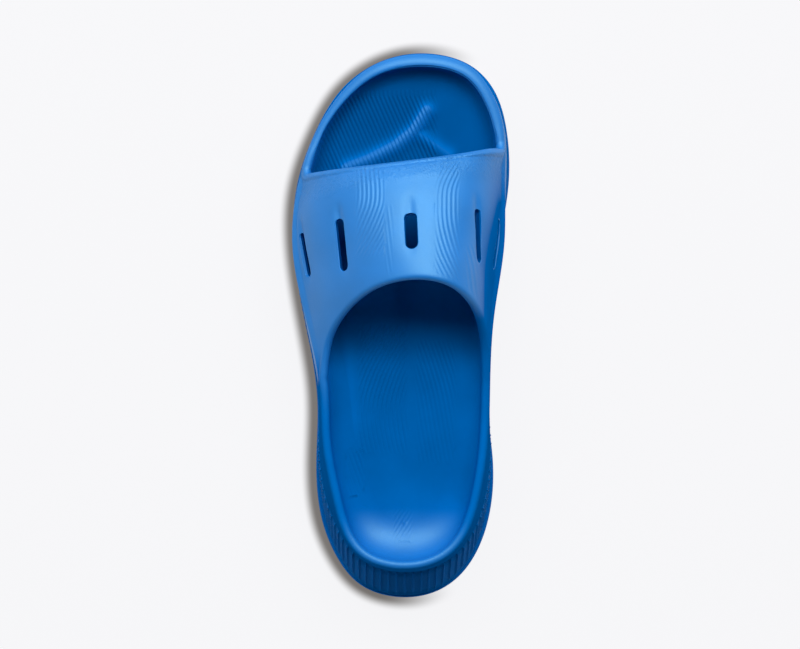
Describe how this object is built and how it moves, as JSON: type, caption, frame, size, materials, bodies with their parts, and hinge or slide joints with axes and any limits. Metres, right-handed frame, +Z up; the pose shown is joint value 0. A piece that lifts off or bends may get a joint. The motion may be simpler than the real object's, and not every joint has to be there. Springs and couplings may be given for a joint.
{
  "type": "sport slide sandal",
  "caption": "Left foot's moulded foam slide sandal: slotted instep strap in one with the footbed, on a flared, ribbed midsole and a lugged outsole.",
  "frame": {"origin": "middle of the bounding box on the floor", "axes": "+Y from heel to toe, +X to the inner (medial) side of the left foot, +Z up"},
  "size_m": [0.1196, 0.3, 0.1],
  "materials": {
    "upper_foam": "satin moulded EVA foam, bright blue",
    "midsole_foam": "matt moulded EVA foam, bright blue",
    "outsole_foam": "matt moulded EVA foam, bright blue"
  },
  "bodies": {
    "root": {"upper": "upper_foam", "midsole": "midsole_foam", "outsole": "outsole_foam"}
  },
  "joints": []
}
